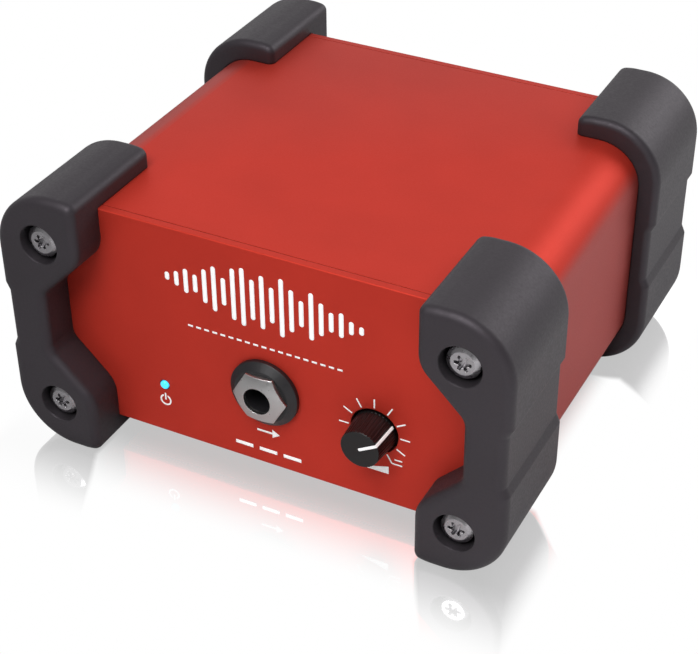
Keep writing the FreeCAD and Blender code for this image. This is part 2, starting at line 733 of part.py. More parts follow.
def transformer_bobbin():
    """Spool on the core's middle leg; its flanges reach the board at the front and back."""
    z0 = BOARD_TOP + 1.5 + 3.0
    z1 = z0 + CORE_H - 6.0
    hole_w, hole_d = CORE_LEG, CORE_D
    flange_w, flange_d = CORE_LEG + 6.8, CORE_D + 7.0
    spool = ring_box(hole_w, hole_d, hole_w + 1.2, hole_d + 1.2, z0, z1)
    low = ring_box(hole_w, hole_d, flange_w, flange_d, z0, z0 + 0.8)
    high = ring_box(hole_w, hole_d, flange_w, flange_d, z1 - 0.8, z1)
    feet = []
    for side in (-1, 1):
        y0, y1 = sorted((CORE_Y + side * (CORE_D / 2 + 0.6), CORE_Y + side * flange_d / 2))
        feet.append(box(CORE_X - flange_w / 2, CORE_X + flange_w / 2, y0, y1, BOARD_TOP, z0))
    return fuse([spool, low, high] + feet)


def transformer_winding():
    z0 = BOARD_TOP + 1.5 + 3.0 + 0.8
    z1 = BOARD_TOP + 1.5 + CORE_H - 3.0 - 0.8
    coil = ring_box(CORE_LEG + 1.2, CORE_D + 1.2, CORE_LEG + 5.8, CORE_D + 6.0, z0, z1)
    uprights = []
    for edge in coil.Edges:
        mid = edge.CenterOfMass
        corner = abs(abs(mid.x - CORE_X) - (CORE_LEG + 5.8) / 2) < 1e-6
        if corner and abs(edge.BoundBox.ZLength - (z1 - z0)) < 1e-4:
            uprights.append(edge)
    return coil.makeFillet(2.0, uprights)


def voltage_regulator():
    tab = on_board(-18.0, 30.0, 10.0, 9.0, 1.0)
    body = on_board(-18.0, 28.5, 9.0, 6.0, 4.0)
    return fuse([tab, body])


# ------------------------------------------------------------ line connector
# Drawn for the front at the origin, with the panel's outer face at y = 0.

def d_flange():
    outline = rounded_rect(13.0, 15.5, 4.0, 0)
    plate = along_y(outline, -LINE_FLANGE_T, 0)
    rim = edges_at(plate, -LINE_FLANGE_T)
    return plate.makeFillet(0.5, rim)


def line_shell():
    """Flanged shell with a round socket and a key rib at its top."""
    shell = fuse([d_flange(), rod(0, 0, 0, LINE_DEPTH, LINE_SHELL_R)])
    shell = shell.cut(rod(0, 0, -LINE_FLANGE_T, LINE_DEPTH, LINE_SOCKET_R))
    mouth = cone(0, 0, -LINE_FLANGE_T, -LINE_FLANGE_T + 0.6, LINE_SOCKET_R + 0.6, LINE_SOCKET_R)
    shell = shell.cut(mouth)
    key_top = LINE_SOCKET_R + 0.5
    shell = fuse([shell, box(-1.0, 1.0, 3.0, LINE_INSERT_FRONT, LINE_SOCKET_R - 1.2, key_top)])
    for s in (-1, 1):
        shell = shell.cut(rod(s * LINE_SCREW_DX, s * LINE_SCREW_DZ, -LINE_FLANGE_T, 0, 1.6))
    return shell


def line_pin_points():
    points = []
    for angle in LINE_PIN_ANGLES:
        a = math.radians(angle)
        points.append((LINE_PIN_CIRCLE * math.cos(a), LINE_PIN_CIRCLE * math.sin(a)))
    return points


def line_insert():
    """Insulator that closes the back of the shell and carries the pins."""
    solid = rod(0, 0, LINE_INSERT_FRONT, LINE_DEPTH, LINE_SOCKET_R)
    for x, z in line_pin_points():
        solid = solid.cut(rod(x, z, LINE_INSERT_FRONT, LINE_DEPTH, LINE_PIN_ROOT_R))
    return solid


def line_pins():
    pins = []
    for x, z in line_pin_points():
        pin = rod(x, z, LINE_PIN_TIP, LINE_INSERT_FRONT, LINE_PIN_R)
        tip = [e for e in pin.Edges if abs(e.CenterOfMass.y - LINE_PIN_TIP) < 1e-6]
        root = rod(x, z, LINE_INSERT_FRONT, LINE_DEPTH + 2.0, LINE_PIN_ROOT_R)
        pins.append(fuse([pin.makeFillet(0.9, tip), root]))
    return Part.makeCompound(pins)


def line_screws():
    screws = []
    for s in (-1, 1):
        screw = pan_screw(2.75, 1.9, 1.6, 1.45, 7.0, 1.3)
        screw.translate(V(s * LINE_SCREW_DX, -LINE_FLANGE_T, s * LINE_SCREW_DZ))
        screws.append(screw)
    return Part.makeCompound(screws)


def line_leads():
    """Three wires from the pins down to the board, drawn in the part's own frame."""
    leads = []
    y = REAR - LINE_DEPTH - 1.2
    for x, z in line_pin_points():
        px, pz = LINE_X - x, CASE_MID_Z + z
        leads.append(Part.makeCylinder(0.6, pz - LINE_PIN_ROOT_R - BOARD_TOP, V(px, y, BOARD_TOP)))
    return Part.makeCompound(leads)


# ----------------------------------------------------------- power inlet

def dc_body():
    """Inlet housing on the board, with a collar through the rear panel."""
    body = box(DC_X - 4.5, DC_X + 4.5, REAR - DC_BACK, REAR - PANEL, BOARD_TOP, BOARD_TOP + 11.0)
    body = fuse([body, rod(DC_X, DC_Z, REAR - PANEL - 1, REAR + 0.4, DC_COLLAR_R)])
    body = body.cut(rod(DC_X, DC_Z, REAR - DC_BORE_DEPTH, REAR + 0.4, DC_BORE_R))
    body = body.cut(rod(DC_X, DC_Z, REAR - DC_BACK, REAR - DC_BORE_DEPTH, DC_PIN_ROOT_R))
    body = body.cut(box(DC_X - 1.3, DC_X + 1.3, REAR - 10.5, REAR - 3.0, BOARD_TOP, DC_Z))
    seat = V(DC_X - 1.9, REAR - DC_PIVOT_DEPTH, DC_Z - DC_PIVOT_DROP)
    return body.cut(Part.makeCylinder(0.5, 3.8, seat, V(1, 0, 0)))


def dc_pin():
    pin = rod(DC_X, DC_Z, REAR - DC_BORE_DEPTH, REAR - 1.0, DC_PIN_R)
    tip = [e for e in pin.Edges if abs(e.CenterOfMass.y - (REAR - 1.0)) < 1e-6]
    root = rod(DC_X, DC_Z, REAR - DC_BACK - 0.5, REAR - DC_BORE_DEPTH, DC_PIN_ROOT_R)
    return fuse([pin.makeFillet(0.5, tip), root])


def dc_leaf():
    """Spring leaf under the bore that presses on the plug's barrel."""
    points = ((0.0, -DC_PIVOT_DROP), (3.4, -4.1), (4.9, -2.75), (6.2, -3.9))
    face = leaf_profile(points)
    face.translate(V(-1.0, 0, 0))
    strip = face.extrude(V(2.0, 0, 0))
    bead = Part.makeCylinder(0.45, 3.6, V(-1.8, 0, -DC_PIVOT_DROP), V(1, 0, 0))
    whole = fuse([strip, bead])
    whole.translate(V(DC_X, REAR - DC_PIVOT_DEPTH, DC_Z))
    return whole


# --------------------------------------------------------- ground lift switch

def lift_body():
    """Switch housing on the board behind the slot in the rear panel."""
    y0, y1 = REAR - LIFT_BACK, REAR - PANEL
    body = box(LIFT_X - 5.5, LIFT_X + 5.5, y0, y1, BOARD_TOP, BOARD_TOP + 6.4)
    half = (LIFT_TRAVEL + 4.6) / 2 + 0.1
    body = body.cut(box(LIFT_X - half, LIFT_X + half, y0 + 1.5, y1 - 1.0, LIFT_Z - 2.0, LIFT_Z + 2.0))
    slot = (LIFT_TRAVEL + LIFT_KNOB_W) / 2 + 0.2
    return body.cut(box(LIFT_X - slot, LIFT_X + slot, y1 - 1.0, y1, LIFT_Z - LIFT_KNOB_H / 2 - 0.05,
                        LIFT_Z + LIFT_KNOB_H / 2 + 0.05))


def lift_slider():
    """Carriage inside the housing and the thumb piece that comes through the panel."""
    x = LIFT_X - LIFT_TRAVEL / 2
    y0 = REAR - LIFT_BACK + 1.55
    carriage = box(x - 2.3, x + 2.3, y0, REAR - PANEL - 1.05, LIFT_Z - 1.95, LIFT_Z + 1.95)
    thumb = box(x - LIFT_KNOB_W / 2, x + LIFT_KNOB_W / 2, REAR - PANEL - 1.1, REAR + 2.2,
                LIFT_Z - LIFT_KNOB_H / 2, LIFT_Z + LIFT_KNOB_H / 2)
    slider = fuse([carriage, thumb])
    for step in (-0.75, 0, 0.75):
        slider = slider.cut(box(x + step - 0.15, x + step + 0.15, REAR + 1.9, REAR + 2.2,
                                LIFT_Z - LIFT_KNOB_H / 2, LIFT_Z + LIFT_KNOB_H / 2))
    return slider


def lift_legs():
    y = REAR - 5.0
    bottom = BOARD_TOP - BOARD_THICK - 0.8
    xs = (LIFT_X - 3.5, LIFT_X, LIFT_X + 3.5)
    return [box(x - 0.3, x + 0.3, y - 0.3, y + 0.3, bottom, BOARD_TOP) for x in xs]


# ------------------------------------------------------------------- legends
# White ink stands INK proud of a panel. Figures are drawn on the front plane.

def stroke(x0, z0, x1, z1, w):
    """Straight stroke of width w between two points."""
    dx, dz = x1 - x0, z1 - z0
    size = math.hypot(dx, dz)
    nx, nz = -dz / size * w / 2, dx / size * w / 2
    return polygon([(x0 + nx, z0 + nz), (x1 + nx, z1 + nz), (x1 - nx, z1 - nz), (x0 - nx, z0 - nz)])


def ring_face(x, z, r_out, r_in):
    outer = Part.Wire(Part.makeCircle(r_out, V(x, 0, z), V(0, 1, 0)))
    inner = Part.Wire(Part.makeCircle(r_in, V(x, 0, z), V(0, 1, 0)))
    return Part.Face(outer).cut(Part.Face(inner))


def disc_face(x, z, r):
    return Part.Face(Part.Wire(Part.makeCircle(r, V(x, 0, z), V(0, 1, 0))))


def pill(x, z, half_w, half_h):
    """Upright bar with round ends."""
    return rounded_rect(half_w, half_h, half_w * 0.98, z).translated(V(x, 0, 0))


def dial_marks():
    """Eleven ticks round the knob, and the kinked end mark with a short dash over it."""
    faces = []
    for i in range(11):
        a = math.radians(-150 + 30 * i)
        inner, outer = 6.0, 8.3
        faces.append(stroke(KNOB_X + inner * math.sin(a), KNOB_Z + inner * math.cos(a),
                            KNOB_X + outer * math.sin(a), KNOB_Z + outer * math.cos(a), 0.32))
    end_x = KNOB_X + 8.3 * math.sin(math.radians(150))
    end_z = KNOB_Z + 8.3 * math.cos(math.radians(150))
    faces.append(stroke(end_x, end_z, end_x + 2.4, end_z, 0.32))
    faces.append(stroke(end_x + 0.6, end_z + 1.2, end_x + 2.4, end_z + 1.2, 0.32))
    return faces


def level_bars():
    """Row of upright bars of different heights, like a sound level display."""
    left = (1.0, 1.8, 3.0, 2.2, 4.2, 5.6, 3.4, 6.4, 7.2, 5.0)
    right = (4.4, 7.2, 5.2, 3.2, 5.8, 4.0, 2.4, 3.0, 1.6, 1.0)
    heights = left + (6.6,) + right
    count = len(heights)
    pitch = 46.0 / (count - 1)
    faces = []
    for i, h in enumerate(heights):
        faces.append(pill(-23.0 + i * pitch, CASE_MID_Z + 15.4, 0.55, h))
    return faces


def front_figures():
    faces = dial_marks() + level_bars()
    mid = CASE_MID_Z
    for i in range(19):
        x = -18.0 + 2.0 * i
        faces.append(stroke(x - 0.6, mid + 4.1, x + 0.6, mid + 4.1, 0.45))
    arrow_z = mid - 18.6
    faces.append(stroke(-2.6, arrow_z, 1.2, arrow_z, 0.5))
    faces.append(polygon([(1.2, arrow_z + 1.1), (3.0, arrow_z), (1.2, arrow_z - 1.1)]))
    faces.append(ring_face(LIGHT_X, mid - 18.6, 1.45, 1.05).cut(
        polygon([(LIGHT_X - 0.5, mid - 18.0), (LIGHT_X + 0.5, mid - 18.0),
                 (LIGHT_X + 0.5, mid - 16.0), (LIGHT_X - 0.5, mid - 16.0)])))
    faces.append(stroke(LIGHT_X, mid - 18.5, LIGHT_X, mid - 16.7, 0.4))
    wedge_z = mid - 19.5
    faces.append(polygon([(KNOB_X - 3.4, wedge_z), (KNOB_X + 3.4, wedge_z), (KNOB_X + 3.4, wedge_z + 2.0)]))
    for x in (-6.0, 0.0, 6.0):
        faces.append(stroke(x - 2.2, mid - 23.8, x + 2.2, mid - 23.8, 0.9))
    return faces


def rear_figures():
    """Legends beside the rear connectors, in the part's own frame."""
    mid = CASE_MID_Z
    faces = []
    arrow_z = mid + 19.3
    faces.append(stroke(LINE_X - 2.0, arrow_z, LINE_X + 1.4, arrow_z, 0.5))
    faces.append(polygon([(LINE_X - 2.0, arrow_z + 1.1), (LINE_X - 3.8, arrow_z), (LINE_X - 2.0, arrow_z - 1.1)]))
    thru_z = JACK_Z + 11.5
    faces.append(stroke(THRU_X - 1.8, thru_z, THRU_X + 1.8, thru_z, 0.5))
    for s in (-1, 1):
        tip = THRU_X + s * 3.6
        base = THRU_X + s * 1.8
        faces.append(polygon([(base, thru_z + 1.1), (tip, thru_z), (base, thru_z - 1.1)]))
    earth_z = LIFT_Z + 8.0
    faces.append(stroke(LIFT_X, earth_z + 0.175, LIFT_X, earth_z + 1.8, 0.4))
    for i, half in enumerate((1.6, 1.0, 0.4)):
        z = earth_z - 0.65 * i
        faces.append(stroke(LIFT_X - half, z, LIFT_X + half, z, 0.35))
    plug_z = DC_Z + 9.5
    faces.append(stroke(DC_X - 3.8, plug_z, DC_X - 1.6, plug_z, 0.35))
    faces.append(ring_face(DC_X, plug_z, 1.6, 1.25))
    faces.append(disc_face(DC_X, plug_z, 0.5))
    faces.append(stroke(DC_X + 1.6, plug_z, DC_X + 3.8, plug_z, 0.35))
    return faces


def ink(faces, y0, y1):
    return Part.makeCompound([along_y(face, y0, y1) for face in faces])


# -------------------------------------------------------------------- export

def place(shape, x, y, z):
    moved = shape.copy()
    moved.translate(V(x, y, z))
    return moved


def build():
    export("case_sleeve", sleeve())
    export("front_panel", front_panel())
    export("rear_panel", rear_panel())

    right = bumper()
    left = mirror_x(right)
    export("bumper_front_right", right)
    export("bumper_front_left", left)
    export("bumper_rear_left", half_turn(right))
    export("bumper_rear_right", half_turn(left))
    screws = bumper_screws()
    export("front_screws", screws)
    export("rear_screws", half_turn(screws))

    leg_shapes = []
    for name, x, rear in (("input_jack", INPUT_X, False), ("thru_jack", THRU_X, True)):
        pieces = {
            "washer": jack_washer(),
            "nut": jack_nut(),
            "bushing": jack_bushing(),
            "housing": jack_body(),
            "tip_contact": jack_tip_leaf(),
            "sleeve_contact": jack_side_leaf(),
            "solder_legs": Part.makeCompound(jack_legs()),
        }
        for label, shape in pieces.items():
            turned = half_turn(shape) if rear else shape
            placed = place(turned, x, REAR if rear else FRONT, JACK_Z)
            export(name + "_" + label, placed)
            if label == "solder_legs":
                leg_shapes.extend(placed.Solids)

    export("drag_knob", knob())
    export("drag_knob_pointer", knob_pointer())
    export("drag_pot_shaft", pot_shaft())
    export("drag_pot_bushing", pot_bushing())
    export("drag_pot_housing", pot_body())
    export("drag_pot_cover", pot_cover())
    export("drag_pot_wiper", pot_wiper())
    export("drag_pot_track", pot_track())
    export("drag_pot_solder_legs", Part.makeCompound(pot_legs()))
    leg_shapes.extend(pot_legs())

    export("power_light_pipe", light_pipe())
    export("power_lamp", power_lamp())

    for label, shape in (("shell", line_shell()), ("insert", line_insert()),
                         ("pins", line_pins()), ("screws", line_screws())):
        export("line_output_" + label, place(half_turn(shape), LINE_X, REAR, CASE_MID_Z))
    export("line_output_leads", line_leads())

    export("power_inlet_housing", dc_body())
    export("power_inlet_pin", dc_pin())
    export("power_inlet_contact", dc_leaf())

    export("ground_lift_housing", lift_body())
    export("ground_lift_slider", lift_slider())
    export("ground_lift_solder_legs", Part.makeCompound(lift_legs()))
    leg_shapes.extend(lift_legs())

    export("main_board", main_board(leg_shapes))
    export("amplifier_chips", amplifier_chips())
    export("film_capacitors", film_capacitors())
    export("can_capacitors", can_capacitors())
    export("chip_resistors", chip_resistors())
    export("transformer_core", transformer_core())
    export("transformer_bobbin", transformer_bobbin())
    export("transformer_winding", transformer_winding())
    export("voltage_regulator", voltage_regulator())

    export("front_legend", ink(front_figures(), FRONT - INK, FRONT))
    export("rear_legend", ink(rear_figures(), REAR, REAR + INK))


os.makedirs("parts", exist_ok=True)
build()
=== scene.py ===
import json
import math

import bpy
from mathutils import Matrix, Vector


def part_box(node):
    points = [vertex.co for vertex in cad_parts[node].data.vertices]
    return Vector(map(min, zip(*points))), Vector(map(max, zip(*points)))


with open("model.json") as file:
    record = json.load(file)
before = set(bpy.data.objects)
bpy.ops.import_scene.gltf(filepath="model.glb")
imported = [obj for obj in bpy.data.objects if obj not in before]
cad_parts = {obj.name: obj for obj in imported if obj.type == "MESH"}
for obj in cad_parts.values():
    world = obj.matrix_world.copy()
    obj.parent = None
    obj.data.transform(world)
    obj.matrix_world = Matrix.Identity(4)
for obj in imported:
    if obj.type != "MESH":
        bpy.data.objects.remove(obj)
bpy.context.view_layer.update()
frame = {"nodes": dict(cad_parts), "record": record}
NODES = frame["nodes"]
MM = 0.001


# ------------------------------------------------------------------ shading

class Shader:
    """A principled material built from small named steps."""

    def __init__(self, name):
        self.material = bpy.data.materials.new(name)
        self.material.use_nodes = True
        self.tree = self.material.node_tree
        self.out = self.tree.nodes["Principled BSDF"]
        coords = self.node("ShaderNodeTexCoord")
        self.coords = coords.outputs["Object"]

    def node(self, kind, **values):
        made = self.tree.nodes.new(kind)
        for key, value in values.items():
            setattr(made, key, value)
        return made

    def link(self, source, target):
        self.tree.links.new(source, target)

    def set(self, **values):
        for key, value in values.items():
            self.out.inputs[key.replace("_", " ")].default_value = value

    def noise(self, scale, detail=3.0, rough=0.5, stretch=(1, 1, 1)):
        mapping = self.node("ShaderNodeMapping")
        mapping.inputs["Scale"].default_value = stretch
        self.link(self.coords, mapping.inputs["Vector"])
        noise = self.node("ShaderNodeTexNoise")
        noise.inputs["Scale"].default_value = scale
        noise.inputs["Detail"].default_value = detail
        noise.inputs["Roughness"].default_value = rough
        self.link(mapping.outputs["Vector"], noise.inputs["Vector"])
        return noise.outputs["Fac"]

    def span(self, source, low, high, from_low=0.3, from_high=0.7):
        """Stretch a texture value to a range."""
        ramp = self.node("ShaderNodeMapRange")
        ramp.inputs["From Min"].default_value = from_low
        ramp.inputs["From Max"].default_value = from_high
        ramp.inputs["To Min"].default_value = low
        ramp.inputs["To Max"].default_value = high
        self.link(source, ramp.inputs["Value"])
        return ramp.outputs["Result"]

    def math(self, operation, a, b=None):
        step = self.node("ShaderNodeMath", operation=operation)
        for i, value in enumerate((a, b)):
            if value is None:
                continue
            if isinstance(value, (int, float)):
                step.inputs[i].default_value = value
            else:
                self.link(value, step.inputs[i])
        return step.outputs[0]

    def mix(self, share, a, b):
        blend = self.node("ShaderNodeMix", data_type="RGBA")
        self.link(share, blend.inputs["Factor"])
        for key, value in (("A", a), ("B", b)):
            socket = [s for s in blend.inputs if s.name == key and s.type == "RGBA"][0]
            if isinstance(value, (tuple, list)):
                socket.default_value = (*value[:3], 1.0)
            else:
                self.link(value, socket)
        return [s for s in blend.outputs if s.type == "RGBA"][0]

    def times(self, color, share):
        """Colour multiplied by a single value."""
        scaled = self.node("ShaderNodeVectorMath", operation="SCALE")
        self.link(color, scaled.inputs[0])
        self.link(share, scaled.inputs["Scale"])
        return scaled.outputs[0]

    def low_angle(self):
        """Nought when seen face on, one when seen from a low angle."""
        weight = self.node("ShaderNodeLayerWeight")
        weight.inputs["Blend"].default_value = 0.5
        return self.span(weight.outputs["Facing"], 0.0, 1.0, 0.51, 0.64)

    def edge_mask(self, radius, low=0.01, high=0.25):
        """One along rounded edges, nought on flats."""
        bevel = self.node("ShaderNodeBevel", samples=6)
        bevel.inputs["Radius"].default_value = radius
        geometry = self.node("ShaderNodeNewGeometry")
        dot = self.node("ShaderNodeVectorMath", operation="DOT_PRODUCT")
        self.link(bevel.outputs["Normal"], dot.inputs[0])
        self.link(geometry.outputs["Normal"], dot.inputs[1])
        turned = self.math("SUBTRACT", 1.0, dot.outputs["Value"])
        self.bevel_normal = bevel.outputs["Normal"]
        return self.span(turned, 0.0, 1.0, low, high)


def surface(name, color, rough, metal=0.0, vary=0.08, vary_scale=60.0, grain=0.15, grain_scale=1500.0,
            grain_depth=0.00002, stretch=(1, 1, 1), rough_vary=0.08, edge_wear_and_glint=0.0, edge_wear_and_glint_color=None,
            edge_radius=0.0003, painted_nook_shade=0.5, painted_nook_shade_reach=0.004, low_angle_painted_shade=0.0, veil=0.0, **extras):
    """Base colour with slow variation, fine grain, lighter edges that are partly wear and partly painted
    highlight, and painted shade in nooks.

    The grain is in both the bump and the roughness. Seen from a low angle the colour darkens by a given
    share, a painted shade for the dimmer sides, under a white gloss of the share veil.
    """
    s = Shader(name)
    dark = [c * (1 - vary) for c in color]
    light = [min(1.0, c * (1 + vary)) for c in color]
    tone = s.mix(s.span(s.noise(vary_scale, 4.0), 0.0, 1.0), dark, light)
    mask = s.edge_mask(edge_radius)
    # Lighter edges: partly wear, partly painted highlight along rounded edges.
    if edge_wear_and_glint > 0:
        wear_and_glint = s.math("MULTIPLY", mask, s.span(s.noise(420.0, 4.0), 0.35 * edge_wear_and_glint, edge_wear_and_glint))
        tone = s.mix(wear_and_glint, tone, edge_wear_and_glint_color or light)
    # Painted shade: ambient occlusion darkens the base colour in nooks and between parts.
    shade = s.node("ShaderNodeAmbientOcclusion", samples=8)
    shade.inputs["Distance"].default_value = painted_nook_shade_reach
    painted_shade_factor = s.span(shade.outputs["AO"], 1 - painted_nook_shade, 1.0, 0.0, 1.0)
    # Painted shade: the colour darkens when seen from a low angle, standing in for the dimmer sides.
    if low_angle_painted_shade > 0:
        painted_shade_factor = s.math("MULTIPLY", painted_shade_factor, s.span(s.low_angle(), 1.0, 1 - low_angle_painted_shade, 0.0, 1.0))
    s.link(s.times(tone, painted_shade_factor), s.out.inputs["Base Color"])
    fine = s.noise(grain_scale, 5.0, 0.6, stretch)
    s.link(s.span(fine, rough - rough_vary, rough + rough_vary), s.out.inputs["Roughness"])
    bump = s.node("ShaderNodeBump")
    bump.inputs["Strength"].default_value = grain
    bump.inputs["Distance"].default_value = grain_depth
    s.link(fine, bump.inputs["Height"])
    s.link(s.bevel_normal, bump.inputs["Normal"])
    s.link(bump.outputs["Normal"], s.out.inputs["Normal"])
    s.set(Metallic=metal, **extras)
    if veil > 0:
        gloss = s.node("ShaderNodeBsdfGlossy")
        gloss.inputs["Roughness"].default_value = rough
        both = s.node("ShaderNodeMixShader")
        s.link(s.math("MULTIPLY", s.low_angle(), veil), both.inputs[0])
        s.link(s.out.outputs[0], both.inputs[1])
        s.link(gloss.outputs[0], both.inputs[2])
        s.link(both.outputs[0], s.tree.nodes["Material Output"].inputs["Surface"])
    return s.material


def glowing(name, color, strength):
    """Lit clear plastic: brighter in the middle, with a faint cloudiness."""
    s = Shader(name)
    facing = s.node("ShaderNodeLayerWeight")
    facing.inputs["Blend"].default_value = 0.4
    core = s.math("SUBTRACT", 1.0, facing.outputs["Facing"])
    cloud = s.span(s.noise(2500.0, 3.0), 0.85, 1.1)
    s.link(s.math("MULTIPLY", s.math("MULTIPLY", core, cloud), strength), s.out.inputs["Emission Strength"])
    s.set(Base_Color=(*color, 1.0), Roughness=0.18, Emission_Color=(*color, 1.0))
    return s.material


def printed_board(name):
    """Green solder mask with faint copper tracks below it."""
    s = Shader(name)
    brick = s.node("ShaderNodeTexBrick")
    brick.inputs["Scale"].default_value = 260.0
    brick.inputs["Mortar Size"].default_value = 0.03
    s.link(s.coords, brick.inputs["Vector"])
    tone = s.mix(brick.outputs["Fac"], (0.008, 0.095, 0.035), (0.03, 0.2, 0.08))
    s.link(tone, s.out.inputs["Base Color"])
    bump = s.node("ShaderNodeBump")
    bump.inputs["Strength"].default_value = 0.2
    bump.inputs["Distance"].default_value = 0.00003
    s.link(brick.outputs["Fac"], bump.inputs["Height"])
    s.link(bump.outputs["Normal"], s.out.inputs["Normal"])
    s.link(s.span(s.noise(300.0), 0.25, 0.4), s.out.inputs["Roughness"])
    return s.material


def wound_wire(name):
    """Lacquered copper turns lying side by side."""
    s = Shader(name)
    wave = s.node("ShaderNodeTexWave", bands_direction="Z")
    wave.inputs["Scale"].default_value = 700.0
    wave.inputs["Distortion"].default_value = 0.6
    s.link(s.coords, wave.inputs["Vector"])
    s.link(s.mix(wave.outputs["Fac"], (0.22, 0.07, 0.025), (0.72, 0.3, 0.12)), s.out.inputs["Base Color"])
    bump = s.node("ShaderNodeBump")
    bump.inputs["Strength"].default_value = 0.7
    bump.inputs["Distance"].default_value = 0.0001
    s.link(wave.outputs["Fac"], bump.inputs["Height"])
    s.link(bump.outputs["Normal"], s.out.inputs["Normal"])
    s.link(s.span(s.noise(900.0), 0.25, 0.42), s.out.inputs["Roughness"])
    s.set(Metallic=0.7)
    return s.material


# In these materials the lighter edges are partly wear and partly painted highlight; the darkening in nooks,
# and for the red paint at low angles, is painted shade.
MATERIALS = {
    "red_anodised": surface("red_satin_paint", (0.58, 0.041, 0.025), 0.5, 0.4, vary=0.04,
                            grain=0.3, grain_scale=2600.0, grain_depth=0.00003, rough_vary=0.05,
                            edge_wear_and_glint=0.5, edge_wear_and_glint_color=(0.62, 0.08, 0.05), painted_nook_shade=0.3, painted_nook_shade_reach=0.007,
                            low_angle_painted_shade=0.36, veil=0.07, Specular_Tint=(1.0, 0.3, 0.25, 1.0)),
    "soft_charcoal": surface("charcoal_rubber", (0.025, 0.0215, 0.025), 0.52, vary=0.08,
                             grain=0.35, grain_scale=1800.0, grain_depth=0.00005, rough_vary=0.07,
                             edge_wear_and_glint=0.12, edge_wear_and_glint_color=(0.07, 0.07, 0.07), edge_radius=0.0006,
                             painted_nook_shade=0.92, painted_nook_shade_reach=0.006, Specular_Tint=(1.0, 0.9, 1.0, 1.0)),
    "zinc_steel": surface("zinc_plated_steel", (0.44, 0.425, 0.445), 0.3, 1.0, vary=0.1, vary_scale=400.0,
                          grain=0.08, grain_scale=700.0, grain_depth=0.00001,
                          edge_wear_and_glint=0.9, edge_wear_and_glint_color=(0.95, 0.94, 0.95), edge_radius=0.00018,
                          painted_nook_shade=0.6, painted_nook_shade_reach=0.0012),
    # The white print has a painted glow: a faint emission of its own makes it read brighter.
    "white_ink": surface("white_ink", (0.95, 0.95, 0.95), 0.5, vary=0.03, vary_scale=500.0, grain=0.2,
                         painted_nook_shade=0.2, Emission_Color=(1.0, 1.0, 1.0, 1.0), Emission_Strength=0.2),
    "knob_black": surface("knob_black", (0.006, 0.0055, 0.006), 0.36, vary=0.15,
                          edge_wear_and_glint=0.6, edge_wear_and_glint_color=(0.12, 0.12, 0.12), edge_radius=0.00015,
                          painted_nook_shade=0.8, painted_nook_shade_reach=0.003, Specular_IOR_Level=0.4),
    "bright_metal": surface("plated_metal", (0.6, 0.6, 0.61), 0.3, 1.0, grain_scale=700.0, stretch=(1, 8, 1)),
    "black_plastic": surface("black_plastic", (0.014, 0.013, 0.015), 0.42, vary=0.15, edge_wear_and_glint=0.3,
                             edge_wear_and_glint_color=(0.06, 0.06, 0.06), painted_nook_shade=0.7),
    "black_metal": surface("black_coated_metal", (0.024, 0.024, 0.026), 0.4, vary=0.12,
                           grain=0.4, grain_scale=2200.0, edge_wear_and_glint=0.4, edge_wear_and_glint_color=(0.12, 0.12, 0.12)),
    "black_steel": surface("blackened_steel", (0.05, 0.05, 0.055), 0.35, 0.8,
                           edge_wear_and_glint=0.5, edge_wear_and_glint_color=(0.25, 0.25, 0.25)),
    "spring_bronze": surface("spring_bronze", (0.72, 0.47, 0.22), 0.28, 1.0,
                             grain_scale=900.0, stretch=(8, 1, 1)),
    "brown_laminate": surface("brown_laminate", (0.16, 0.08, 0.04), 0.6, vary=0.25, vary_scale=300.0),
    "light_pipe": glowing("lit_pipe", (0.06, 0.6, 0.95), 1.1),
    "lamp_white": glowing("lamp", (0.5, 0.9, 1.0), 2.0),
    "gold_contact": surface("gold_contact", (0.85, 0.6, 0.25), 0.22, 1.0,
                            grain_scale=800.0, stretch=(1, 6, 1)),
    "board_green": printed_board("printed_board"),
    "capacitor_blue": surface("film_capacitor", (0.03, 0.08, 0.26), 0.35, vary=0.15),
    "capacitor_black": surface("can_capacitor", (0.03, 0.03, 0.045), 0.32, vary=0.2, edge_wear_and_glint=0.6,
                               edge_wear_and_glint_color=(0.4, 0.4, 0.42)),
    "chip_black": surface("chip_resistor", (0.03, 0.03, 0.03), 0.5, vary=0.2),
    "core_steel": surface("laminated_core", (0.2, 0.2, 0.21), 0.45, 0.9, grain=0.9, grain_scale=900.0,
                          grain_depth=0.0001, stretch=(0.3, 12, 0.3)),
    "bobbin_white": surface("bobbin_nylon", (0.7, 0.66, 0.55), 0.5, vary=0.06),
    "copper": wound_wire("copper_wire"),
    "nickel": surface("satin_nickel", (0.56, 0.55, 0.55), 0.34, 1.0, vary=0.06,
                      grain=0.25, grain_scale=1200.0,
                      edge_wear_and_glint=0.9, edge_wear_and_glint_color=(0.85, 0.84, 0.83), edge_radius=0.00025),
}

SLOTS = {row["node"]: row["material_slot"] for row in frame["record"]["subparts"]}

for name, node in NODES.items():
    node.data.materials.clear()
    node.data.materials.append(MATERIALS[SLOTS[name]])


# ------------------------------------------------------------------ stage

# Sky as lights and mirrors see it; the camera sees white.
SKY_FRONT = 0.2
SKY_BACK = 0.95
BRIGHT_SKY_SIDE = (-0.25, 0.8, -0.54)  # direction of the brighter part

# Floor as lights and mirrors see it, graded from left to right.
FLOOR_HALF = 6.0
FLOOR_LEFT = 0.4
FLOOR_RIGHT = 0.88
GRADE_START, GRADE_END = -0.08, 0.12

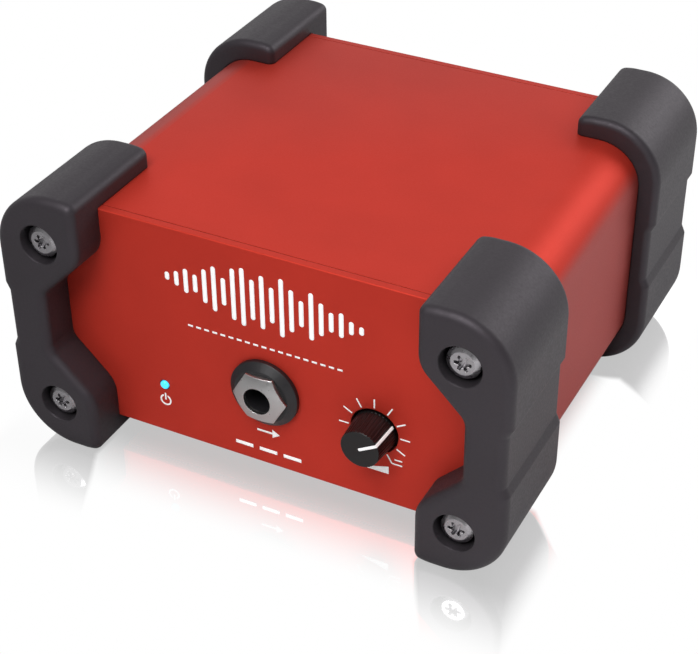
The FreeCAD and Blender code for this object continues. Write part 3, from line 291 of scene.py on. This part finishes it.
# Weak mirror that the camera sees in the floor.
MIRROR_SHARE = 0.47
MIRROR_GAIN = 1.5
MIRROR_FADE = 22 * MM                  # distance in front of the case over which it fades
SIDE_FADE_RATE = 3.0                   # how much faster it goes beside the case
VIEW_SLANT = 0.5                       # sideways per forward run of the view over the floor
BUMPER_MIRROR_LEAD = 10 * MM           # it reaches farther before a bumper
BUMPER_MIRROR_EDGE = 1.5 * MM          # width of the change at a bumper's inner side
MIRROR_SIDE_CUT = 7 * MM               # it stops this far inside the bare side of the case

# Where a ray off the floor beside the case meets the rounded corner of a bumper.
CORNER_INSET = 3 * MM
CORNER_LEAD = 4.3 * MM
CORNER_SLANT = 0.93
CORNER_BLUR = 2 * MM

CAMERA_PLACE = (0.1485, -0.2958, 0.2433)
CAMERA_AZIMUTH = math.radians(26.53)
CAMERA_ELEVATION = math.radians(35.14)
CAMERA_LENS = 87.1
CAMERA_SHIFT = (-0.0292, 0.0069)


def floor_material():
    """White studio floor whose weak mirror fades out away from the box."""
    s = Shader("studio_floor")
    bumper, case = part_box("bumper_front_right"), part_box("case_sleeve")
    place = s.node("ShaderNodeSeparateXYZ")
    s.link(s.coords, place.inputs[0])
    x, y = place.outputs["X"], place.outputs["Y"]
    front_gap = s.math("MAXIMUM", s.math("SUBTRACT", bumper[0][1], y), 0.0)
    right_gap = s.math("MAXIMUM", s.math("SUBTRACT", x, bumper[1][0] - CORNER_INSET), 0.0)
    across = s.math("ABSOLUTE", s.math("SUBTRACT", x, s.math("MULTIPLY", front_gap, VIEW_SLANT)))
    meeting = s.math("ADD", s.math("ADD", y, CORNER_LEAD), s.math("MULTIPLY", right_gap, CORNER_SLANT))
    along = s.math("ABSOLUTE", meeting)
    inner_side, bumper_end = bumper[0][0], -bumper[1][1]
    beside_front = s.span(across, 0.0, BUMPER_MIRROR_LEAD, inner_side, inner_side + BUMPER_MIRROR_EDGE)
    beside_side = s.span(along, -MIRROR_SIDE_CUT, BUMPER_MIRROR_LEAD / 2,
                         bumper_end - CORNER_BLUR, bumper_end + CORNER_BLUR)
    past_front = s.math("SUBTRACT", s.math("SUBTRACT", s.math("ABSOLUTE", y), case[1][1]), beside_front)
    past_side = s.math("SUBTRACT", s.math("SUBTRACT", s.math("ABSOLUTE", x), case[1][0]), beside_side)
    away = s.math("MAXIMUM", past_front, s.math("MULTIPLY", past_side, SIDE_FADE_RATE))
    fade = s.span(away, MIRROR_SHARE, 0.0, 0.0, MIRROR_FADE)
    fade.node.interpolation_type = "SMOOTHSTEP"

    white = s.node("ShaderNodeEmission")
    mirror = s.node("ShaderNodeBsdfGlossy")
    s.link(s.span(s.noise(40.0), 0.04, 0.06), mirror.inputs["Roughness"])
    mirror.inputs["Color"].default_value = (*[MIRROR_GAIN] * 3, 1.0)
    seen = s.node("ShaderNodeMixShader")
    s.link(fade, seen.inputs[0])
    s.link(white.outputs[0], seen.inputs[1])
    s.link(mirror.outputs[0], seen.inputs[2])

    toward_right = s.span(x, 0.0, 1.0, GRADE_START, GRADE_END)
    s.link(s.mix(toward_right, [FLOOR_LEFT] * 3, [FLOOR_RIGHT] * 3), s.out.inputs["Base Color"])
    s.set(Roughness=0.8)
    rays = s.node("ShaderNodeLightPath")
    both = s.node("ShaderNodeMixShader")
    s.link(rays.outputs["Is Camera Ray"], both.inputs[0])
    s.link(s.out.outputs[0], both.inputs[1])
    s.link(seen.outputs[0], both.inputs[2])
    s.link(both.outputs[0], s.tree.nodes["Material Output"].inputs["Surface"])
    return s.material


def add_floor():
    mesh = bpy.data.meshes.new("studio_floor")
    half = FLOOR_HALF
    corners = [(-half, -half, 0), (half, -half, 0), (half, half, 0), (-half, half, 0)]
    mesh.from_pydata(corners, [], [(0, 1, 2, 3)])
    floor = bpy.data.objects.new("studio_floor", mesh)
    bpy.context.scene.collection.objects.link(floor)
    mesh.materials.append(floor_material())


def add_light(name, place, target, size, power):
    light = bpy.data.lights.new(name, "AREA")
    light.shape = "RECTANGLE"
    light.size, light.size_y = size
    light.energy = power
    lamp = bpy.data.objects.new(name, light)
    bpy.context.scene.collection.objects.link(lamp)
    lamp.location = place
    lamp.rotation_euler = (Vector(target) - Vector(place)).to_track_quat("-Z", "Y").to_euler()


def add_world():
    """White for the camera; for everything else dim in front and brighter behind."""
    world = bpy.data.worlds.new("studio")
    world.use_nodes = True
    bpy.context.scene.world = world
    tree = world.node_tree

    def ranged(source, from_low, from_high, low, high):
        ramp = tree.nodes.new("ShaderNodeMapRange")
        ends = {"From Min": from_low, "From Max": from_high, "To Min": low, "To Max": high}
        for name, value in ends.items():
            ramp.inputs[name].default_value = value
        tree.links.new(source, ramp.inputs["Value"])
        return ramp

    direction = tree.nodes.new("ShaderNodeTexCoord")
    toward = tree.nodes.new("ShaderNodeVectorMath")
    toward.operation = "DOT_PRODUCT"
    toward.inputs[1].default_value = BRIGHT_SKY_SIDE
    tree.links.new(direction.outputs["Generated"], toward.inputs[0])
    sky = ranged(toward.outputs["Value"], 0.0, 0.5, SKY_FRONT, SKY_BACK)
    rays = tree.nodes.new("ShaderNodeLightPath")
    level = ranged(rays.outputs["Is Camera Ray"], 0.0, 1.0, 0.0, 1.0)
    tree.links.new(sky.outputs["Result"], level.inputs["To Min"])
    background = tree.nodes["Background"]
    background.inputs["Color"].default_value = (1, 1, 1, 1)
    tree.links.new(level.outputs["Result"], background.inputs["Strength"])


def add_camera():
    camera = bpy.data.cameras.new("photo_camera")
    camera.lens = CAMERA_LENS
    camera.sensor_width = 36.0
    camera.shift_x, camera.shift_y = CAMERA_SHIFT
    camera.clip_start = 0.01
    holder = bpy.data.objects.new("photo_camera", camera)
    bpy.context.scene.collection.objects.link(holder)
    holder.location = CAMERA_PLACE
    level = math.cos(CAMERA_ELEVATION)
    forward = Vector((-math.sin(CAMERA_AZIMUTH) * level, math.cos(CAMERA_AZIMUTH) * level,
                      -math.sin(CAMERA_ELEVATION)))
    holder.rotation_euler = forward.to_track_quat("-Z", "Y").to_euler()
    bpy.context.scene.camera = holder


add_floor()
add_world()
add_camera()
add_light("key_front", (0.02, -0.5, 0.74), (0, 0, 0.03), (0.5, 0.5), 6.6)
add_light("strip_back", (0.42, 0.66, 0.42), (0, 0, 0.04), (0.6, 0.42), 2.1)
bpy.context.scene.view_settings.view_transform = "Standard"
